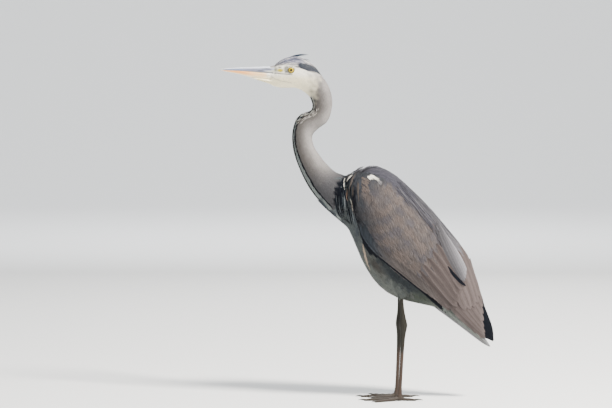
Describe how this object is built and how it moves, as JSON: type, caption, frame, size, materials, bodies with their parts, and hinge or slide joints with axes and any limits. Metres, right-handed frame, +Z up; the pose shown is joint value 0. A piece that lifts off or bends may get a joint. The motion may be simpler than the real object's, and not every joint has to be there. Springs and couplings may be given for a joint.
{
  "type": "standing heron figure",
  "caption": "Life-size young grey heron standing still on both feet, neck in a loose S, wings folded, bill held level.",
  "frame": {"origin": "middle of the bird's bounding box in plan, at the level of its soles", "axes": "+Z up; the bird faces -X; its left side looks towards -Y"},
  "size_m": [0.6036, 0.1476, 0.7611],
  "materials": {
    "face_plumage": "short soft feathers, white chin and dark grey crown",
    "neck_plumage": "short grey feathers with black streaks on white down the front",
    "belly_plumage": "loose white and pale grey feathers",
    "wing_plumage": "overlapping brown-grey feathers with paler edges",
    "dark_plumage": "stiff blue-black feathers",
    "eye": "wet yellow iris with a black pupil",
    "bill": "satin horn, slate above and pale orange below",
    "leg_scale": "dry scaly skin, dark brown, pinkish lower down",
    "claw": "dark polished horn"
  },
  "bodies": {
    "root": {"head": "face_plumage", "crest": "dark_plumage", "eye_left": "eye", "eye_right": "eye", "bill_upper": "bill", "bill_lower": "bill", "neck_upper": "neck_plumage", "neck_middle": "neck_plumage", "neck_lower": "neck_plumage", "trunk": "belly_plumage", "mantle": "wing_plumage", "wing_left": "wing_plumage", "wing_right": "wing_plumage", "quills_left": "dark_plumage", "quills_right": "dark_plumage", "tail": "wing_plumage", "thigh_left": "belly_plumage", "thigh_right": "belly_plumage", "shank_left": "leg_scale", "shank_right": "leg_scale", "tarsus_left": "leg_scale", "tarsus_right": "leg_scale", "foot_left": "leg_scale", "foot_right": "leg_scale", "claw_left_middle": "claw", "claw_left_outer": "claw", "claw_left_inner": "claw", "claw_left_hind": "claw", "claw_right_middle": "claw", "claw_right_outer": "claw", "claw_right_inner": "claw", "claw_right_hind": "claw"}
  },
  "joints": []
}
